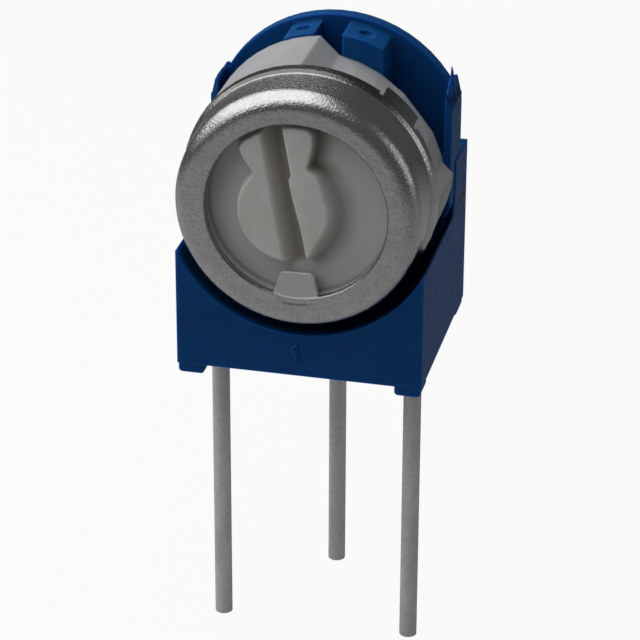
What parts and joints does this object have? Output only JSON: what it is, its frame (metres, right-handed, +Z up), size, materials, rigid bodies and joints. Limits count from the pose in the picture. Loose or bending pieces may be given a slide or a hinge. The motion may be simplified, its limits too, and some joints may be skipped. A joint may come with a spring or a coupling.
{
  "type": "trimmer potentiometer",
  "caption": "Round single-turn trimmer potentiometer held upright in a moulded cradle, with a screwdriver slot in its face and straight wire pins.",
  "frame": {"origin": "axis of the wiper pin where it meets the board, level with the soles of the feet", "axes": "+Z up from the board and against the pins, +X to the right seen from the adjusting face, +Y away from that face; the rotor axis runs along Y"},
  "size_m": [0.0064, 0.0058, 0.0164],
  "materials": {
    "cradle_plastic": "satin moulded blue plastic",
    "shell_plastic": "matte white moulded plastic",
    "cap_metal": "plated sheet metal, fine grain",
    "rotor_plastic": "off-white translucent plastic",
    "seal_rubber": "matte black",
    "wiper_metal": "spring alloy",
    "alumina": "matte white ceramic",
    "cermet_track": "fired black film",
    "land_metal": "fired silver film",
    "solder": "dull tin",
    "tinned_wire": "dull tinned wire",
    "seal_resin": "cured resin"
  },
  "bodies": {
    "base": {"cradle": "cradle_plastic", "shell": "shell_plastic", "cap": "cap_metal", "substrate": "alumina", "track": "cermet_track", "track_land_left": "land_metal", "track_land_right": "land_metal", "collector": "land_metal", "solder_joints": "solder", "pin_left": "tinned_wire", "pin_right": "tinned_wire", "pin_wiper": "tinned_wire", "rear_seal": "seal_resin"},
    "rotor": {"rotor": "rotor_plastic", "seal_ring": "seal_rubber", "wiper": "wiper_metal"}
  },
  "joints": [
    {"name": "adjust", "type": "hinge", "parent": "base", "child": "rotor", "pos_m": [0, -0.0047, 0.00487], "axis": [0, -1, 0], "range_deg": [-149, 117]}
  ]
}
